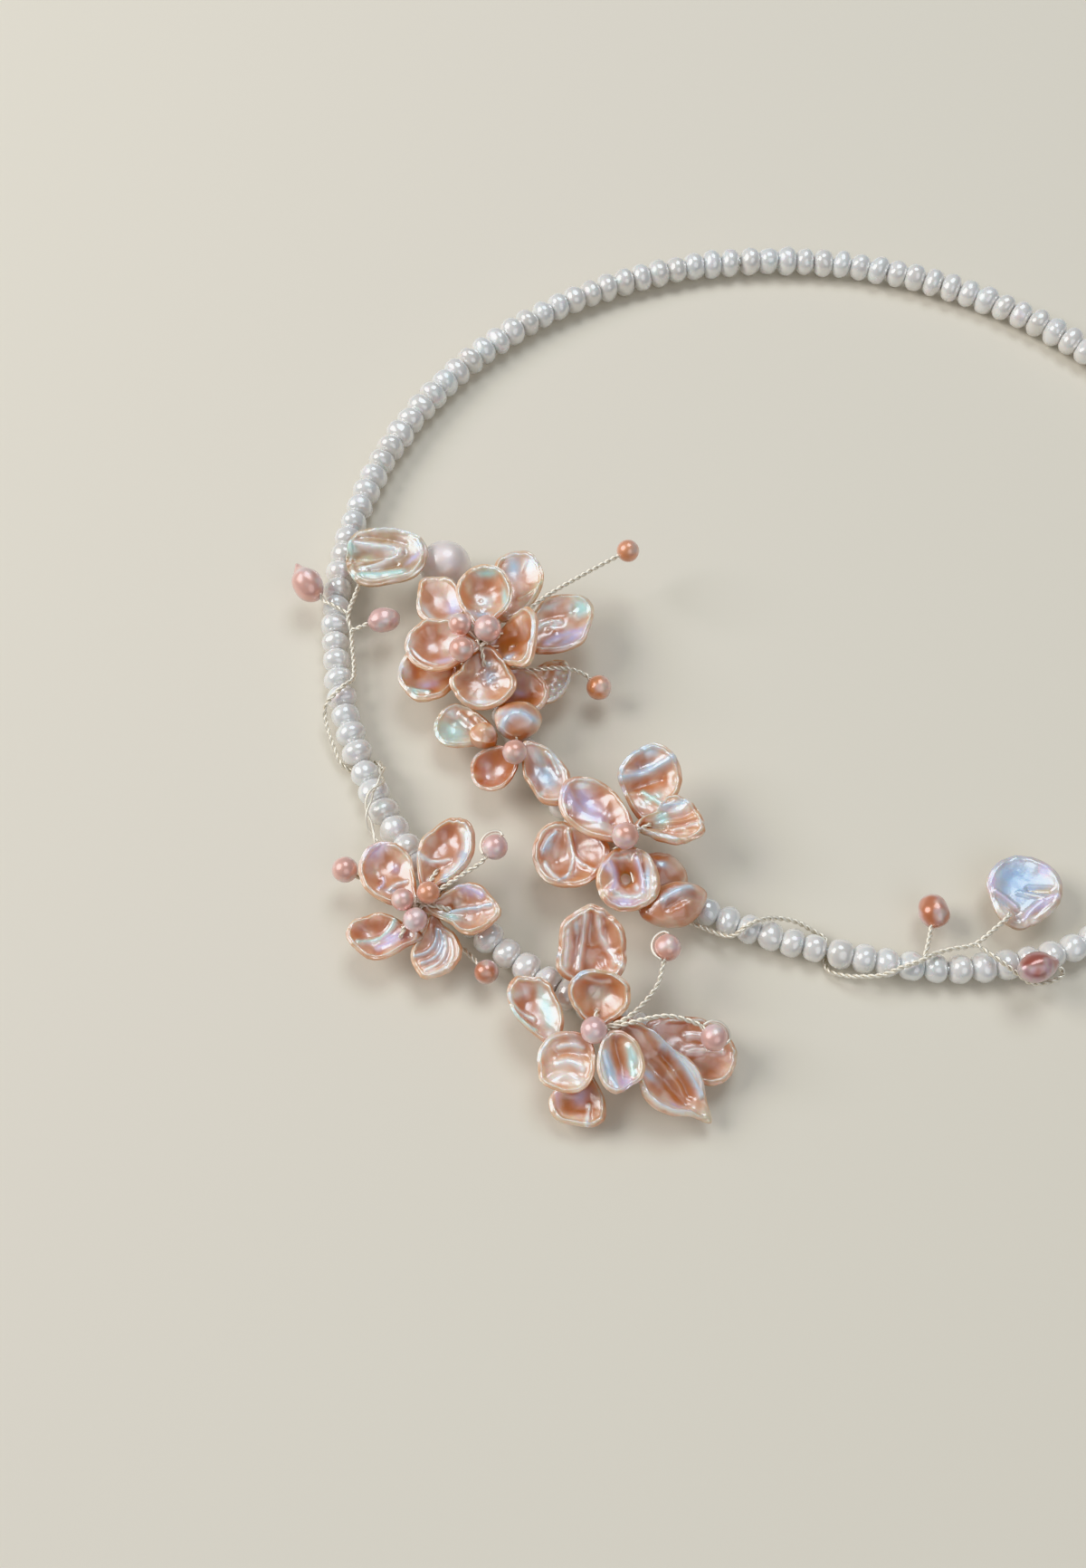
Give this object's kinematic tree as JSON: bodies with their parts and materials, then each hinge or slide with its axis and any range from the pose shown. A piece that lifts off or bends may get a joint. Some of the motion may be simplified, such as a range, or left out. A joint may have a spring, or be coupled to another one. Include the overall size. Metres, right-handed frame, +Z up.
{
  "type": "pearl choker necklace",
  "caption": "Rigid open pearl choker whose ends pass each other, with flowers of petal pearls and wire vines with leaf pearls.",
  "frame": {"origin": "the middle of the choker's box, on the surface it lies on", "axes": "+Z up, +Y to the back of the neck, so the open ends pass each other at the front on the -X side"},
  "size_m": [0.1392, 0.1411, 0.0128],
  "materials": {
    "white_pearl": "silvery white nacre, satin to glossy",
    "petal_pearl": "glossy peach nacre with white rims and an iridescent sheen",
    "leaf_pearl": "glossy pale nacre with an iridescent sheen",
    "pink_pearl": "glossy pink nacre",
    "champagne_wire": "bright pale gold wire, twisted in pairs",
    "steel_wire": "bright stiff wire"
  },
  "bodies": {
    "root": {"core_wire": "steel_wire", "strand_outer_tip": "white_pearl", "strand_between_outer_flowers": "white_pearl", "strand_under_left_vine": "white_pearl", "strand_left": "white_pearl", "strand_back": "white_pearl", "strand_right": "white_pearl", "strand_front": "white_pearl", "strand_between_inner_flowers": "white_pearl", "strand_to_top_flower": "white_pearl", "strand_inner_tip": "white_pearl", "end_pearl": "white_pearl", "petal_a1": "petal_pearl", "petal_a2": "petal_pearl", "petal_a3": "petal_pearl", "petal_a4": "petal_pearl", "petal_a5": "petal_pearl", "petal_b1": "petal_pearl", "petal_b2": "petal_pearl", "petal_b3": "petal_pearl", "petal_b4": "petal_pearl", "petal_b5": "petal_pearl", "petal_b6": "petal_pearl", "petal_b7": "petal_pearl", "petal_b8": "petal_pearl", "petal_c1": "petal_pearl", "petal_c2": "petal_pearl", "petal_c3": "petal_pearl", "petal_c4": "petal_pearl", "petal_c5": "petal_pearl", "petal_c6": "petal_pearl", "petal_c7": "petal_pearl", "petal_d1": "petal_pearl", "petal_d2": "petal_pearl", "petal_d3": "petal_pearl", "petal_d4": "petal_pearl", "petal_d5": "petal_pearl", "petal_e1": "petal_pearl", "petal_e2": "petal_pearl", "petal_e3": "petal_pearl", "petal_e4": "petal_pearl", "petal_e5": "petal_pearl", "petal_e6": "petal_pearl", "petal_e7": "petal_pearl", "petal_e8": "petal_pearl", "petal_e9": "petal_pearl", "petal_e10": "petal_pearl", "flower_a_wire": "champagne_wire", "flower_b_wire": "champagne_wire", "flower_c_wire": "champagne_wire", "flower_d_wire": "champagne_wire", "flower_e_wire": "champagne_wire", "left_vine": "champagne_wire", "right_vine": "champagne_wire", "left_vine_leaf": "leaf_pearl", "right_vine_leaf": "leaf_pearl", "left_vine_pointed_pearl": "pink_pearl", "left_vine_oval_pearl": "pink_pearl", "right_vine_oval_pearl": "pink_pearl", "right_vine_red_pearl": "pink_pearl"}
  },
  "joints": []
}
